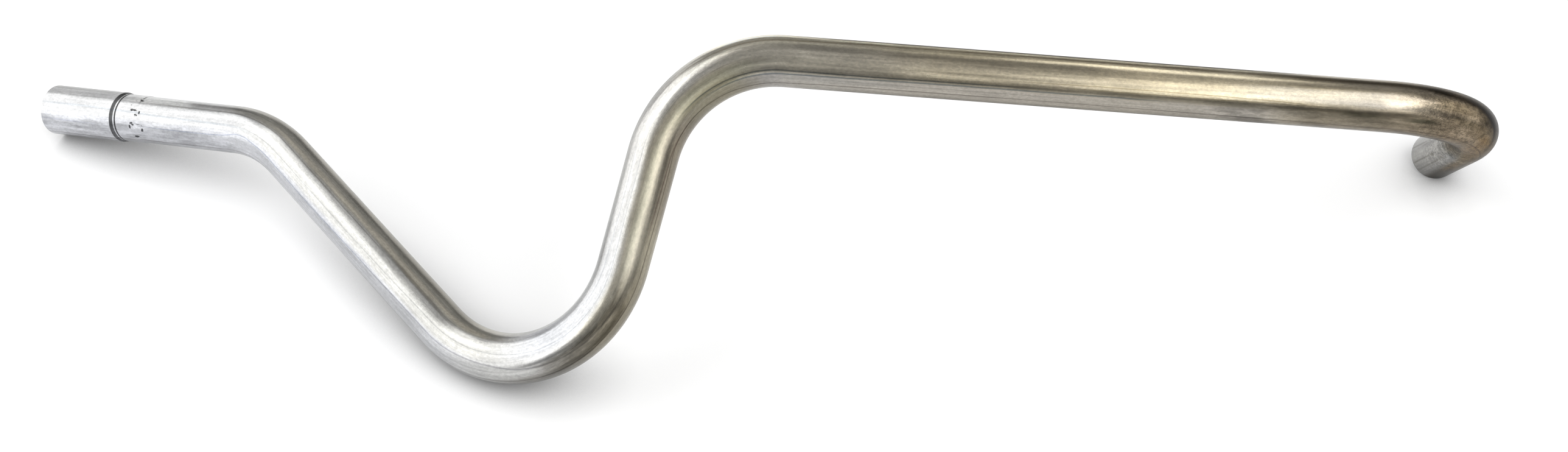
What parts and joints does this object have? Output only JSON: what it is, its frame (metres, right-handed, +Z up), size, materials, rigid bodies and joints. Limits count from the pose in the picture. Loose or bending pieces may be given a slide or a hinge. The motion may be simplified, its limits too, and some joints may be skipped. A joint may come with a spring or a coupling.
{
  "type": "intermediate exhaust pipe",
  "caption": "Bent steel exhaust tube with a slip socket at one end and a plain end, lying as it comes to rest.",
  "frame": {"origin": "centre of the bounding box's bottom face, on the floor that the pipe rests on", "axes": "+X along the long straight run as seen from above, towards the plain end; +Z up; +Y away from the low bend"},
  "size_m": [1.3871, 0.3402, 0.2412],
  "materials": {
    "steel": "mill finish, bright at the socket and warm grey to bronze towards the plain end"
  },
  "bodies": {
    "root": {"intermediate_pipe": "steel"}
  },
  "joints": []
}
